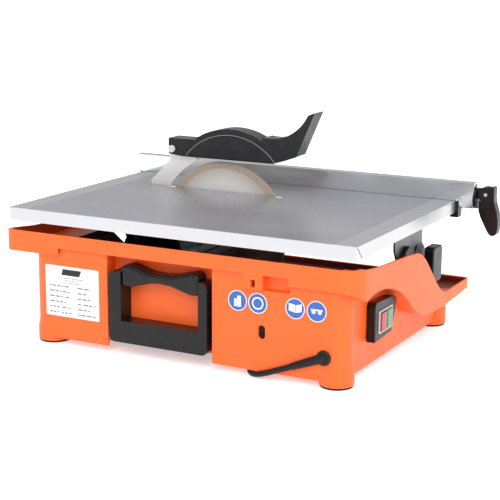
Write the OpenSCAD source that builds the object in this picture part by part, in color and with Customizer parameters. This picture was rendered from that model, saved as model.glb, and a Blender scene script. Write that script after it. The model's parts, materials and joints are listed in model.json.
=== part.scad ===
// Tile cutter: a wet tile saw with a moulded tub, a fixed motor and blade, and a table that
// tilts to 45 degrees. Millimetres, +Z up. Every piece is laid out from the table's front left
// corner on the floor: X to the operator's right, Y to the rear. at_origin() then moves it so
// that the origin is the middle of the whole machine's footprint.

/* [Table] */
// Width of the table, left to right
table_w = 375; // [370:1:376]
// Length of the table, front to back
table_l = 510; // [505:1:512]
// Height of the table's top face above the floor
table_z = 183.3; // [183:0.1:184]
// Thickness of the table's sheet
sheet_t = 2; // [1.5:0.5:2]
// Depth of the lip folded down around the table
lip_h = 17.5; // [15:0.5:18]

/* [Blade] */
// Diameter of the blade
blade_d = 200; // [190:5:200]
// Thickness of the diamond rim
rim_t = 2.2; // [2:0.1:2.4]
// Width of the diamond rim
rim_w = 10; // [7:0.5:12]
// Bore of the blade
blade_bore_d = 25.4; // [22.2, 25.4]

/* [Tub] */
// Height of the tub's rim on the left
rim_z = 152.5; // [150:0.5:153]
// Wall of the moulded tub
wall = 3; // [2.5:0.5:3.5]

/* [Fence] */
// Width of the fence bar
fence_w = 16; // [14:1:16]
// Height of the fence bar
fence_h = 26; // [24:1:26]

/* [Cord] */
// Diameter of the mains cord
cord_d = 7.5; // [7:0.5:8]

/* [Hidden] */
$fn = 64;

// The corner that the pieces are laid out from, seen from the origin
origin_x = 201.6;
origin_y = 230.5;

// Table and its tilt
table_under = table_z - sheet_t;
lip_z = table_z - lip_h;
slot_x0 = 241.5;
slot_x1 = 253.5;
slot_y0 = 219;
slot_y1 = 446;
pivot_x = 226;
pivot_z = 174;
pivot_r = 3;
tilt = 45;

// Blade and motor
blade_x = 246;
blade_y = 314.6;
blade_z = 126;
blade_r = blade_d / 2;
shaft_r = 7;
motor_r = 50;

// Tub; the left wall steps in behind the handle
wall_x = 5;
left_x = 25;
leg_r = 20;
pocket_y = [199, 357];
pocket_top = 134;
tab_y = [125, 154];
tab_z = [114, 128];
oval_y = 128.4;
oval_z = [56.1, 64.1];
drain_x = 300;
drain_y = 400;
right_x = 348.5;
skirt_z = 9;
floor_z = 15;
tray_x = 407;
tray_z = 59.4;
front_y = -3;
low_front_y = 20;
back_y = 472;
rim_back_y = 518;
foot_r = 22;
foot_x = [25, 348.5];
foot_y = [34.3, 457.5];
pad_h = 3;

// Fastening points
boss_x = [206, 250];
boss_z = 38;
cradle_x = [121, 179];
cradle_y = [262, 367];
handle_y = [210.5, 342.5];
handle_z = [30, 104];

// Tilt lock, front set; the rear set is its mirror image
rear_mirror_y = 473;
trunnion_y = 27;
trunnion_t = 3;
sector_y = 23.5;
sector_t = 2.5;
guide_r = 53;
guide_a = -101;
lock_r = 91.5;
lock_a = -49.9;
stud_r = 4;

// Fence
fence_x = 338;
fence_z = table_z + 0.3;
fence_y0 = -27;
fence_y1 = 523;
lever_y = -43;
lever_z = 195;

// Cord: route of the free stretch, from the sleeve's tip to the coil
cord_r = cord_d / 2;
gland_y = 42.7;
gland_z = 39.7;
coil_x = 462;
coil_y = 300;
coil_in_r = 38.5;
coil_out_r = 46;
cord_route = [[0.8, 84, 23.6], [0.8, 93, 20], [0.8, 102, 16.5], [0.8, 111, 13], [1, 120, 9.6],
  [1.8, 129, 6.7], [4.6, 138, 4.8], [10.7, 146, 3.9], [21, 153, 3.8], [37, 159.5, 3.8],
  [59, 167, 3.8], [85, 175, 3.8], [115, 184, 3.8], [150, 196, 3.8], [190, 210, 3.8],
  [230, 223, 3.8], [270, 234, 3.8], [310, 243, 3.8], [350, 249.5, 3.8], [385, 253, 3.8],
  [415, 254, 3.8], [440, 254, 3.8]];
lead_route = [[508, 304, 18.8], [508, 314, 18.9], [508, 322, 19], [508, 331, 19], [508, 342, 19]];
plug_x = 508;
plug_y = 342;
plug_z = 19;

orange = "orangered";
black = [0.12, 0.12, 0.13];
steel = [0.75, 0.75, 0.78];
bright = [0.88, 0.88, 0.9];

// ---- helpers ----

module at_origin() {
  translate([-origin_x, -origin_y, 0]) children();
}

// A box from one corner to the opposite one
module span(a, b) {
  translate(a) cube(b - a);
}

// A rod along Y, X or Z between two places
module rod_y(x, z, r, y0, y1) {
  translate([x, y0, z]) rotate([-90, 0, 0]) cylinder(r = r, h = y1 - y0);
}

module rod_x(y, z, r, x0, x1) {
  translate([x0, y, z]) rotate([0, 90, 0]) cylinder(r = r, h = x1 - x0);
}

module rod_z(x, y, r, z0, z1) {
  translate([x, y, z0]) cylinder(r = r, h = z1 - z0);
}

// An outline drawn in X and Z, given thickness from y0 to y1
module slab_y(points, y0, y1) {
  translate([0, y1, 0]) rotate([90, 0, 0]) linear_extrude(y1 - y0) polygon(points);
}

// An outline drawn in Y and Z, given thickness from x0 to x1
module slab_x(points, x0, x1) {
  translate([x0, 0, 0]) rotate([90, 0, 90]) linear_extrude(x1 - x0) polygon(points);
}

// An outline drawn in X and Y, given thickness from z0 to z1
module slab_z(points, z0, z1) {
  translate([0, 0, z0]) linear_extrude(z1 - z0) polygon(points);
}

// A box with round corners seen from the front
module round_box_y(a, b, r) {
  union() {
    span([a[0] + r, a[1], a[2]], [b[0] - r, b[1], b[2]]);
    span([a[0], a[1], a[2] + r], [b[0], b[1], b[2] - r]);
    for (x = [a[0] + r, b[0] - r], z = [a[2] + r, b[2] - r]) rod_y(x, z, r, a[1], b[1]);
  }
}

// A box with round corners seen from the side
module round_box_x(a, b, r) {
  union() {
    span([a[0], a[1] + r, a[2]], [b[0], b[1] - r, b[2]]);
    span([a[0], a[1], a[2] + r], [b[0], b[1], b[2] - r]);
    for (y = [a[1] + r, b[1] - r], z = [a[2] + r, b[2] - r]) rod_x(y, z, r, a[0], b[0]);
  }
}

function arc(cx, cy, r, a0, a1, n = 12) =
  [for (i = [0 : n]) let (a = a0 + (a1 - a0) * i / n) [cx + r * cos(a), cy + r * sin(a)]];

// A place on the front tilt lock, as an angle and a radius around the pivot
function around_pivot(r, a) = [pivot_x + r * cos(a), pivot_z + r * sin(a)];

// A curved slot around the pivot, with round ends
module arc_slot(r, half, a0, a1, y0, y1) {
  ends = [around_pivot(r, a0), around_pivot(r, a1)];
  band = concat(arc(pivot_x, pivot_z, r + half, a0, a1), arc(pivot_x, pivot_z, r - half, a1, a0));
  slab_y(band, y0, y1);
  for (p = ends) rod_y(p[0], p[1], half, y0, y1);
}

// The front set and its mirror image at the rear
module both_ends() {
  children();
  translate([0, rear_mirror_y, 0]) mirror([0, 1, 0]) children();
}

// ---- tub ----

// Height of the front wall's top edge, a hump that falls away to the tray
hump_x = 187;
hump_z = 138;
dip_x = 313;
function flank(x) = tray_z + (hump_z - tray_z) * (1 + cos(180 * (x - hump_x) / (dip_x - hump_x))) / 2;
flank_points = [for (i = [0 : 14]) let (x = hump_x + (dip_x - hump_x) * i / 14) [x, flank(x)]];
wall_top = concat([[0, rim_z], [20, rim_z - 1.5], [60, rim_z - 6], [120, 143], [160, 140.5]],
  flank_points, [[tray_x, tray_z]]);
// Lower edge of the front panel: an arch over the switch, then the underside of the tray
panel_low = [[tray_x, 47], [350, 43.5], [300, 41.5], [255, 42.5], [230, 45.5], [214, 50], [200, 55.5],
  [188, 62], [174, 72.5], [158, 85], [143, 95], [126, 103], [109, 109], [92, 113], [75, 115.5],
  [54, 116], [38, 114], [28, 111], [20, 113], [8, 121], [0, 124]];
front_panel = concat(wall_top, panel_low);
plan = concat(arc(28, front_y + 28, 28, 180, 270, 8), arc(tray_x - 10, front_y + 10, 10, 270, 360, 4),
  arc(tray_x - 12, rim_back_y - 12, 12, 0, 90, 4), arc(10, rim_back_y - 10, 10, 90, 180, 4));

// Plan of the lower box, drawn in by an inset
function low_plan(inset) = concat(
  arc(wall_x + leg_r, low_front_y + leg_r, leg_r - inset, 180, 270, 8),
  arc(right_x - 12, low_front_y + 12, 12 - inset, 270, 360, 4),
  arc(right_x - 12, back_y - 12, 12 - inset, 0, 90, 4),
  arc(wall_x + leg_r, back_y - leg_r, leg_r - inset, 90, 180, 8));
// Pocket behind the handle and the shallow notch next to the tab, grown by a wall
module pockets(grow) {
  span([-1, pocket_y[0] - grow, -1], [left_x + grow, pocket_y[1] + grow, pocket_top + grow]);
  span([-1, 90 - grow, tab_z[0] - grow], [12 + grow, tab_y[0] + grow, pocket_top + grow]);
}

module tub_outside() {
  difference() {
    intersection() {
      union() {
        // lower box
        intersection() {
          slab_x([[22.5, skirt_z], [low_front_y, 70], [low_front_y, 130], [back_y, 130],
            [back_y, skirt_z]], wall_x, right_x);
          slab_z(low_plan(0), skirt_z - 1, 131);
        }
        // front panel, band and tray, from the front to the back
        slab_y(front_panel, front_y - 1, low_front_y + wall);
        slab_y(concat(wall_top, [[tray_x, 47], [right_x - 1, 43.5], [right_x - 1, 124],
          [0, 124]]), low_front_y, back_y);
        slab_y(concat(wall_top, [[tray_x, 47], [310, 47], [240, 75], [180, 124], [0, 124]]),
          back_y - 1, rim_back_y + 1);
      }
      slab_z(plan, 0, rim_z + 1);
    }
    // the box above the rim line
    slab_y(concat(wall_top, [[tray_x + 9, tray_z], [tray_x + 9, 190], [-9, 190], [-9, rim_z]]),
      front_y - 9, rim_back_y + 9);
  }
  for (y = foot_y) rod_z(foot_x[1], y, foot_r, pad_h, 48);
  // the left legs are the corners of the tub, and a little wider at the foot
  for (y = foot_y) {
    rod_z(foot_x[0], y, leg_r, pad_h, 126);
    rod_z(foot_x[0], y, foot_r, pad_h, 20);
    translate([foot_x[0], y, 20]) cylinder(r1 = foot_r, r2 = leg_r, h = 12);
  }
}

module tub_inside() {
  // deep part, square at the top, around the pockets
  difference() {
    union() {
      intersection() {
        slab_x([[22.5 + wall, floor_z + wall], [low_front_y + wall, 70], [low_front_y + wall, 190],
          [back_y - wall, 190], [back_y - wall, floor_z + wall]], wall_x + wall, right_x - wall);
        slab_z(low_plan(wall), floor_z, 191);
      }
      span([wall_x + wall, low_front_y + wall, 127], [right_x - 9, back_y - wall, 190]);
    }
    pockets(wall);
  }
  // behind the front panel
  slab_y(concat([[left_x + 4, 190], [tray_x - wall, 190], [tray_x - wall, 50.5], [350, 47], [300, 44.8],
    [255, 45.8], [230, 49], [216, 53], [202, 58.5], [190, 65], [176, 75.5], [160, 88], [145, 98],
    [128, 106], [110, 112.2], [92, 116.2], [75, 118.6], [54, 119.2], [36, 116.5], [left_x + 4, 113],
    [left_x + 4, 140]]), front_y + wall, low_front_y + 4);
  // band on the left: shallow above the handle, deep at both ends
  span([wall, 20, 138], [left_x + 4, rim_back_y - 9, 190]);
  span([wall + 8, 8, 138], [left_x + 4, rim_back_y - wall, 190]);
  for (ends = [[20, 87], [432, rim_back_y - 9]])
    span([wall, ends[0], 127], [left_x + 4, ends[1], 150]);
  // gutter on the right
  slab_y([[right_x - 5, 190], [right_x - 5, 47], [tray_x - wall, 50.5], [tray_x - wall, 190]],
    low_front_y, back_y - wall);
  // overhang at the rear
  slab_y([[20, 190], [20, 127], [178, 127], [242, 78], [311, 50.5], [tray_x - wall, 50.5],
    [tray_x - wall, 190]], back_y - wall - 2, rim_back_y - wall);
}

module body_tub() {
  color(orange) difference() {
    union() {
      difference() {
        tub_outside();
        tub_inside();
      }
      // the right columns keep their own walls inside the tub
      for (y = foot_y) rod_z(foot_x[1], y, foot_r, pad_h, 46);
      // tab under the band and bosses for the trunnion plates and the cradle
      span([0.5, tab_y[0], tab_z[0]], [wall_x + 1, tab_y[1], tab_z[1]]);
      for (x = boss_x) {
        rod_y(x, boss_z, 6, low_front_y + 1, trunnion_y);
        rod_y(x, boss_z, 6, rear_mirror_y - trunnion_y, back_y - 1);
      }
      for (x = cradle_x, y = cradle_y) rod_z(x, y, 7, floor_z + 1, 30);
    }
    // columns are hollow and open at the bottom
    for (y = foot_y) {
      rod_z(foot_x[0], y, foot_r - wall, 0, floor_z);
      rod_z(foot_x[1], y, foot_r - wall, 0, 41);
    }
    // screw holes
    both_ends() for (x = boss_x) rod_y(x, boss_z, 2.5, low_front_y + 4, trunnion_y + 1);
    for (x = cradle_x, y = cradle_y) rod_z(x, y, 3, floor_z + 6, 31);
    for (y = handle_y, z = handle_z) rod_x(y, z, 2.5, left_x - 1, left_x + wall + 1);
    // under the floor, around the columns
    difference() {
      intersection() {
        slab_z(low_plan(wall), -1, floor_z);
        span([0, 26, -2], [tray_x, back_y, floor_z + 1]);
      }
      for (x = foot_x, y = foot_y) rod_z(x, y, foot_r, -2, floor_z + 1);
    }
    // thin band over the handle and the label
    span([-1, tab_y[1], 100], [wall_x - 0.01, 432, pocket_top]);
    pockets(0);
    // small hole in the tab, oval hole in the wall, cord hole, drain hole
    span([-1, 136, 117], [wall_x + wall + 1, 142, 127]);
    for (z = oval_z) rod_x(oval_y, z, 5, -1, wall_x + wall + 1);
    span([-1, oval_y - 5, oval_z[0]], [wall_x + wall + 1, oval_y + 5, oval_z[1]]);
    rod_x(gland_y, gland_z, 7, -1, wall_x + wall + 1);
    rod_x(gland_y, gland_z, 11, wall_x + wall, wall_x + wall + 20);
    rod_z(drain_x, drain_y, 9, 0, floor_z + wall + 1);
    // opening for the switch in the recessed wall
    span([88, 0, 50], [138, low_front_y + wall + 2, 84]);
  }
}

module rubber_feet() {
  color(black) for (x = foot_x, y = foot_y) rod_z(x, y, foot_r - 1, 0, pad_h);
}

module drain_plug() {
  color(black) union() {
    rod_z(drain_x, drain_y, 8.8, floor_z - 3, floor_z + wall + 1);
    rod_z(drain_x, drain_y, 13, floor_z + wall, floor_z + wall + 4);
    // tab to pull it out by
    span([drain_x - 2.5, drain_y - 9, floor_z + wall + 3],
      [drain_x + 2.5, drain_y + 9, floor_z + wall + 14]);
  }
}

// ---- carrying handle on the left ----

module handle_frame() {
  color(black) difference() {
    round_box_x([0, 204, 18.5], [left_x, 352, 114], 8);
    span([-1, 217, 48], [left_x + 1, 333, 120]);
    // hollow back of the lower bar
    span([6, 222, 24], [left_x + 1, 328, 42]);
    for (y = handle_y, z = handle_z) rod_x(y, z, 2.5, 4, left_x + 1);
  }
}

// Waisted grip between the arms
grip_outline = [[217, 95], [230, 94.5], [245, 98.5], [260, 102.5], [275, 104], [290, 102.5],
  [305, 98.5], [320, 94.5], [333, 95], [333, 122], [322, 124], [310, 121], [295, 117], [275, 115.5],
  [255, 117], [240, 121], [228, 124], [217, 122]];
module handle_grip() {
  color(black) slab_x(grip_outline, 1, left_x - 0.3);
}

module handle_screws() {
  color(steel) for (y = handle_y, z = handle_z) rod_x(y, z, 2.5, 6, left_x + wall);
}

module rating_label() {
  color("white") round_box_x([wall_x - 0.5, 370.4, 40.1], [wall_x, 455.9, 109.6], 1.5);
}

sticker_y = [162.4, 133.9, 82.4, 53.4];
module round_stickers() {
  color("royalblue") for (y = sticker_y) rod_x(y, 96.6, 13.3, wall_x - 0.4, wall_x);
}

// ---- mains cord ----

module cord_gland() {
  color(black) difference() {
    union() {
      rod_x(gland_y, gland_z, 9.5, wall_x - 3.5, wall_x);
      rod_x(gland_y, gland_z, 6.8, wall_x - 1, wall_x + 16);
      rod_x(gland_y, gland_z, 10.5, wall_x + wall, wall_x + wall + 5);
    }
    rod_x(gland_y, gland_z, 4, wall_x + 4, wall_x + 17);
  }
}

// Tapered sleeve that leads the cord back along the wall
sleeve_start = [2.5, gland_y + 1, gland_z];
sleeve_end = cord_route[0];
module cord_sleeve() {
  d = sleeve_end - sleeve_start;
  reach = norm(d);
  color(black) difference() {
    union() {
      translate(sleeve_start) rotate([0, acos(d[2] / reach), atan2(d[1], d[0])])
        cylinder(r1 = 6, r2 = cord_r + 0.8, h = reach);
      translate(sleeve_start) sphere(r = 6.3);
    }
    span([wall_x - 3.5, 0, 0], [wall_x + 20, gland_y + 12, 60]);
    span([wall_x - 0.05, 0, 0], [wall_x + 20, 120, 60]);
  }
}

// Tube of round section swept along a route
function unit(v) = v / norm(v);
function heading(p, i) = unit(p[min(i + 1, len(p) - 1)] - p[max(i - 1, 0)]);
function ring(p, i, r, n) =
  let (t = heading(p, i), s = unit(cross(t, [0, 0, 1])), u = cross(s, t))
  [for (k = [0 : n - 1]) p[i] + r * (cos(360 * k / n) * s + sin(360 * k / n) * u)];
module swept_tube(route, r, n) {
  rings = len(route);
  points = [for (i = [0 : rings - 1]) each ring(route, i, r, n)];
  sides = [for (i = [0 : rings - 2], k = [0 : n - 1])
    [(i + 1) * n + k, (i + 1) * n + (k + 1) % n, i * n + (k + 1) % n, i * n + k]];
  first = [for (k = [0 : n - 1]) k];
  last = [for (k = [n - 1 : -1 : 0]) (rings - 1) * n + k];
  polyhedron(points, concat(sides, [first, last]), convexity = 6);
}

module mains_cord() {
  color(black) swept_tube(cord_route, cord_r, 10);
}

module cord_coil() {
  color(black) translate([coil_x, coil_y, 0]) rotate_extrude()
    translate([coil_in_r - cord_r, 0]) square([coil_out_r - coil_in_r + cord_d, 3 * cord_d]);
}

module plug_lead() {
  color(black) swept_tube(lead_route, cord_r, 10);
}

module plug_body() {
  color(black) difference() {
    union() {
      rod_y(plug_x, plug_z, 6, plug_y, plug_y + 12);
      rod_y(plug_x, plug_z, 14, plug_y + 12, plug_y + 22);
      rod_y(plug_x, plug_z, 19, plug_y + 22, plug_y + 42);
    }
    for (s = [-1, 1]) rod_y(plug_x + s * 9.5, plug_z, 2.4, plug_y + 26, plug_y + 43);
  }
}

module plug_pins() {
  color(bright) for (s = [-1, 1]) rod_y(plug_x + s * 9.5, plug_z, 2.4, plug_y + 26, plug_y + 61);
}

// ---- switch ----

// Housing outline seen from the front, slanted on the right
switch_outline = [[81, 43], [136, 45], [152, 82], [148, 88.5], [140, 92], [84, 95], [80, 90]];
module switch_housing() {
  color(black) difference() {
    slab_y(switch_outline, 8, low_front_y);
    span([92, 7, 52], [134, low_front_y + 1, 82]);
  }
}

module switch_frame() {
  color(bright) difference() {
    span([92.3, 6.5, 52.3], [133.7, low_front_y + 3, 81.7]);
    span([94.5, 5, 54.5], [112, low_front_y + 4, 79.5]);
    span([114, 5, 54.5], [131.5, low_front_y + 4, 79.5]);
  }
}

module switch_body() {
  color(black) difference() {
    span([88.5, low_front_y + 3, 50.5], [137.5, 58, 83.5]);
    span([94.5, low_front_y + 2, 54.5], [112, 45, 79.5]);
    span([114, low_front_y + 2, 54.5], [131.5, 45, 79.5]);
  }
}

module start_button() {
  color("green") round_box_y([114.3, 4.5, 54.8], [131.2, 38, 79.2], 1.5);
}

module stop_button() {
  color("red") round_box_y([94.8, 4.5, 54.8], [111.7, 38, 79.2], 1.5);
}

// ---- motor ----

// A ring around the motor's axis
module shell_x(r_out, r_in, x0, x1) {
  difference() {
    rod_x(blade_y, blade_z, r_out, x0, x1);
    rod_x(blade_y, blade_z, r_in, x0 - 1, x1 + 1);
  }
}

module motor_housing() {
  color(steel) union() {
    shell_x(46, 42, 92, 200);
    // cooling fins
    for (i = [0 : 23]) if (abs(i - 12) > 1) translate([0, blade_y, blade_z]) rotate([15 * i, 0, 0])
      span([96, -1, 45], [196, 1, motor_r]);
    // foot
    difference() {
      span([113, blade_y - 14, 64], [187, blade_y + 14, 84]);
      rod_x(blade_y, blade_z, 44, 100, 200);
    }
  }
}

module blade_end_bell() {
  color(steel) difference() {
    union() {
      rod_x(blade_y, blade_z, 46, 200, 212);
      rod_x(blade_y, blade_z, 26, 212, 222);
      rod_x(blade_y, blade_z, 41.8, 196, 200);
    }
    rod_x(blade_y, blade_z, 38, 190, 207);
    rod_x(blade_y, blade_z, 16, 206, 218);
    rod_x(blade_y, blade_z, 9, 217, 223);
  }
}

module fan_end_bell() {
  color(steel) difference() {
    union() {
      rod_x(blade_y, blade_z, 46, 82, 92);
      rod_x(blade_y, blade_z, 41.8, 92, 96);
      rod_x(blade_y, blade_z, 20, 74, 82);
    }
    rod_x(blade_y, blade_z, 38, 86, 97);
    rod_x(blade_y, blade_z, 16, 76, 87);
    rod_x(blade_y, blade_z, 9, 73, 77);
  }
}

module fan_cover() {
  color(black) difference() {
    rod_x(blade_y, blade_z, 47, 50, 82);
    rod_x(blade_y, blade_z, 44.5, 52.5, 82.5);
    for (i = [0 : 11]) translate([0, blade_y, blade_z]) rotate([30 * i, 0, 0])
      span([49, -3, 16], [53, 3, 38]);
  }
}

module stator() {
  color("sienna") shell_x(41.8, 26, 104, 188);
}

module rotor_shaft() {
  color(steel) union() {
    rod_x(blade_y, blade_z, 25.4, 110, 182);
    rod_x(blade_y, blade_z, shaft_r, 58, 244.9);
    rod_x(blade_y, blade_z, 6, 244, 268);
  }
}

module cooling_fan() {
  color(black) difference() {
    union() {
      rod_x(blade_y, blade_z, 14, 58, 71);
      rod_x(blade_y, blade_z, 40, 68, 70.5);
      for (i = [0 : 7]) translate([0, blade_y, blade_z]) rotate([45 * i, 0, 0])
        span([57, -1, 12], [69, 1, 40]);
    }
    rod_x(blade_y, blade_z, shaft_r, 50, 80);
  }
}

module bearings() {
  color(bright) {
    shell_x(16, shaft_r + 0.05, 208, 217);
    shell_x(16, shaft_r + 0.05, 77, 86);
  }
}

// Folded steel cradle that carries the motor above the water
module cradle_leg(x) {
  difference() {
    span([x, 258, 30], [x + 4, 371, 104]);
    rod_x(blade_y, blade_z, motor_r + 0.3, x - 1, x + 5);
    span([x - 1, 290, 36], [x + 5, 339, 58]);
  }
}

module motor_cradle() {
  color(steel) difference() {
    union() {
      cradle_leg(108);
      cradle_leg(188);
      span([100, 254, 30], [200, 375, 33]);
      span([110, blade_y - 16, 60], [190, blade_y + 16, 64]);
      // arm that holds the riving knife
      span([196, 360, 30], [214, 438, 33]);
      span([196, 400, 30], [245, 438, 33]);
      span([240, 400, 30], [245, 438, 66]);
    }
    for (x = cradle_x, y = cradle_y) rod_z(x, y, 3, 29, 34);
    for (y = knife_screw_y) rod_x(y, 52, 3, 238, 246);
  }
}

module cradle_screws() {
  color(steel) for (x = cradle_x, y = cradle_y) {
    rod_z(x, y, 3, floor_z + 6, 33);
    rod_z(x, y, 5.5, 33, 37);
  }
}

module capacitor() {
  color("silver") union() {
    rod_x(120, 44, 17, 60, 118);
    rod_x(120, 44, 14, 118, 122);
    span([70, 106, floor_z + wall], [110, 134, 40]);
  }
}

// ---- blade ----

module inner_flange() {
  color(steel) difference() {
    union() {
      rod_x(blade_y, blade_z, 13, 230, 239);
      difference() {
        rod_x(blade_y, blade_z, 28, 239, 244.9);
        rod_x(blade_y, blade_z, 24, 243.9, 246);
      }
      rod_x(blade_y, blade_z, blade_bore_d / 2, 239, 246.5);
    }
    rod_x(blade_y, blade_z, shaft_r, 229, 244.9);
    rod_x(blade_y, blade_z, 6, 244, 247);
  }
}

module blade_core() {
  color(bright) difference() {
    rod_x(blade_y, blade_z, blade_r - rim_w, 245.1, 246.9);
    rod_x(blade_y, blade_z, blade_bore_d / 2, 240, 250);
  }
}

module diamond_rim() {
  color("tan") shell_x(blade_r, blade_r - rim_w, blade_x - rim_t / 2, blade_x + rim_t / 2);
}

module outer_flange() {
  color(steel) difference() {
    rod_x(blade_y, blade_z, 28, 247, 252);
    rod_x(blade_y, blade_z, 6, 240, 260);
    rod_x(blade_y, blade_z, 24, 245, 247.8);
  }
}

module blade_nut() {
  color(steel) difference() {
    translate([252, blade_y, blade_z]) rotate([0, 90, 0]) cylinder(r = 11, h = 10, $fn = 6);
    rod_x(blade_y, blade_z, 6, 250, 265);
  }
}

// ---- riving knife and guard ----

guard_y = 394.4;
guard_z = 240.6;
bolt_r = 3;
// Plate behind the blade that also carries the guard
knife_screw_y = [409, 429];
knife = concat([[438, 40], [438, 190], [406, 221]], arc(guard_y, guard_z, 9.5, 0, 180),
  [[381, 238], [357, 226]], arc(blade_y, blade_z, blade_r + 7.5, 62, -47, 18), [[392, 40]]);
module riving_knife() {
  color(bright) difference() {
    slab_x(knife, 245, 247);
    rod_x(guard_y, guard_z, bolt_r, 240, 250);
    for (y = knife_screw_y) rod_x(y, 52, 3, 240, 250);
  }
}

module knife_screws() {
  color(steel) for (y = knife_screw_y) {
    rod_x(y, 52, 3, 237, 249);
    rod_x(y, 52, 5.5, 247, 250.5);
  }
}

guard_side = concat([[401, 233], [401, 256], [355, 256]], arc(300, 173.5, 101.3, 56, 120, 16),
  arc(236, 330, 64.2, -80, -154, 10), [[168, 306], [195, 244], [212, 236.7], [231, 231], [377, 230.6]]);
guard_inside = concat([[403, 220], [403, 253], [354, 253]], arc(300, 173.5, 98.3, 56, 118, 16),
  [[232, 261], [214, 252], [206, 242], [212, 220]]);
module guard() {
  color(black) difference() {
    slab_x(guard_side, 234, 263);
    slab_x(guard_inside, 236.8, 260.2);
    rod_x(guard_y, guard_z, bolt_r + 0.05, 230, 270);
  }
}

module guard_bolt() {
  color("white") union() {
    rod_x(guard_y, guard_z, bolt_r, 230.8, 268);
    rod_x(guard_y, guard_z, 5.2, 229.5, 233.7);
    rod_x(guard_y, guard_z, 5, 237.1, 245);
    rod_x(guard_y, guard_z, 5, 247, 259.9);
    translate([263.3, guard_y, guard_z]) rotate([0, 90, 0]) cylinder(r = 6, h = 5, $fn = 6);
  }
}

// ---- table ----

module table_top() {
  color(steel) difference() {
    union() {
      span([0, 0, table_under], [table_w, table_l, table_z]);
      // front and rear lips, cut away at an angle next to the corners
      for (y = [0, table_l - sheet_t])
        slab_y([[2.5, table_under + 0.5], [17, lip_z], [table_w - 17, lip_z],
          [table_w - 2.5, table_under + 0.5]], y, y + sheet_t);
      for (x = [0, table_w - sheet_t])
        span([x, 1, lip_z], [x + sheet_t, table_l - 1, table_under + 0.5]);
    }
    span([slot_x0, slot_y0 + 6, table_under - 1], [slot_x1, slot_y1 - 6, table_z + 1]);
    for (y = [slot_y0 + 6, slot_y1 - 6]) rod_z((slot_x0 + slot_x1) / 2, y, 6, table_under - 1, table_z + 1);
  }
}

module table_rails() {
  color(steel) for (x = [24, 335]) difference() {
    span([x, 30, table_under - 14], [x + 12, table_l - 30, table_under]);
    span([x + 1.5, 29, table_under - 15], [x + 10.5, table_l - 29, table_under - 1.5]);
  }
}

// Plate that hangs from the table and carries the clamp bolt
module sector_plate() {
  knob_at = around_pivot(lock_r, lock_a);
  difference() {
    union() {
      slab_y([[178, table_under], [278, table_under], [278, 134], [300, 114], [300, 94], [284, 88],
        [262, 100], [232, 108], [202, 110], [190, 120], [178, 140]], sector_y, sector_y + sector_t);
      span([178, 5, table_under - 2], [278, sector_y + 0.5, table_under]);
    }
    rod_y(pivot_x, pivot_z, pivot_r + 0.05, sector_y - 1, sector_y + sector_t + 1);
    rod_y(knob_at[0], knob_at[1], stud_r, sector_y - 1, sector_y + sector_t + 1);
    arc_slot(guide_r, stud_r + 0.3, guide_a, guide_a + tilt, sector_y - 1, sector_y + sector_t + 1);
  }
}

module sector_plates() {
  color(steel) both_ends() sector_plate();
}

// Plate fixed to the tub that carries the pivot; the clamp bolt runs in its slot
trunnion = concat([[198, 30], [258, 30], [256, 62], [290, 98], [296, 106], [233, 168]],
  arc(pivot_x, pivot_z, 6.6, 20, 160, 8), [[205, 140], [194, 110], [200, 62]]);
module trunnion_plate() {
  guide_at = around_pivot(guide_r, guide_a);
  difference() {
    slab_y(trunnion, trunnion_y, trunnion_y + trunnion_t);
    rod_y(pivot_x, pivot_z, pivot_r, trunnion_y - 1, trunnion_y + trunnion_t + 1);
    rod_y(guide_at[0], guide_at[1], stud_r, trunnion_y - 1, trunnion_y + trunnion_t + 1);
    arc_slot(lock_r, stud_r + 0.3, lock_a, lock_a - tilt, trunnion_y - 1, trunnion_y + trunnion_t + 1);
    for (x = boss_x) rod_y(x, boss_z, 2.5, trunnion_y - 1, trunnion_y + trunnion_t + 1);
  }
}

module trunnion_plates() {
  color(bright) both_ends() trunnion_plate();
}

module trunnion_screws() {
  color(steel) both_ends() for (x = boss_x) {
    rod_y(x, boss_z, 2.5, low_front_y + 4, trunnion_y + trunnion_t);
    rod_y(x, boss_z, 4.5, trunnion_y + trunnion_t, trunnion_y + trunnion_t + 3);
  }
}

module pivot_bolts() {
  color(steel) both_ends() {
    rod_y(pivot_x, pivot_z, pivot_r, sector_y - 1, trunnion_y + 8);
    rod_y(pivot_x, pivot_z, 4.9, sector_y - 4, sector_y - 0.5);
    rod_y(pivot_x, pivot_z, 5.5, trunnion_y + trunnion_t, trunnion_y + 7);
  }
}

// Round washer stack on a fixed stud that keeps the sector plate flat
module guide_washers() {
  guide_at = around_pivot(guide_r, guide_a);
  color(black) both_ends() {
    rod_y(guide_at[0], guide_at[1], 18, 17, sector_y - 0.4);
    rod_y(guide_at[0], guide_at[1], 6, 12, 18);
    rod_y(guide_at[0], guide_at[1], stud_r, 16, trunnion_y + trunnion_t);
  }
}

module clamp_bolts() {
  at = around_pivot(lock_r, lock_a);
  color(steel) both_ends() {
    rod_y(at[0], at[1], stud_r, 12, trunnion_y + 7);
    rod_y(at[0], at[1], 7, trunnion_y + trunnion_t + 0.3, trunnion_y + 7);
  }
}

// Clamp knob, a chunky block with round corners on a hub
module knob(y0) {
  at = around_pivot(lock_r, lock_a);
  difference() {
    union() {
      round_box_y([at[0] - 17, y0, at[1] - 25], [at[0] + 17, 16.5, at[1] + 25], 7);
      rod_y(at[0], at[1], 9, 16, sector_y - 0.2);
    }
    rod_y(at[0], at[1], stud_r + 0.05, 11, sector_y + 1);
  }
}

module front_knob() {
  color(black) knob(2.5);
}

module rear_knob() {
  color(black) translate([0, rear_mirror_y, 0]) mirror([0, 1, 0]) knob(5);
}

// ---- fence ----

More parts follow.
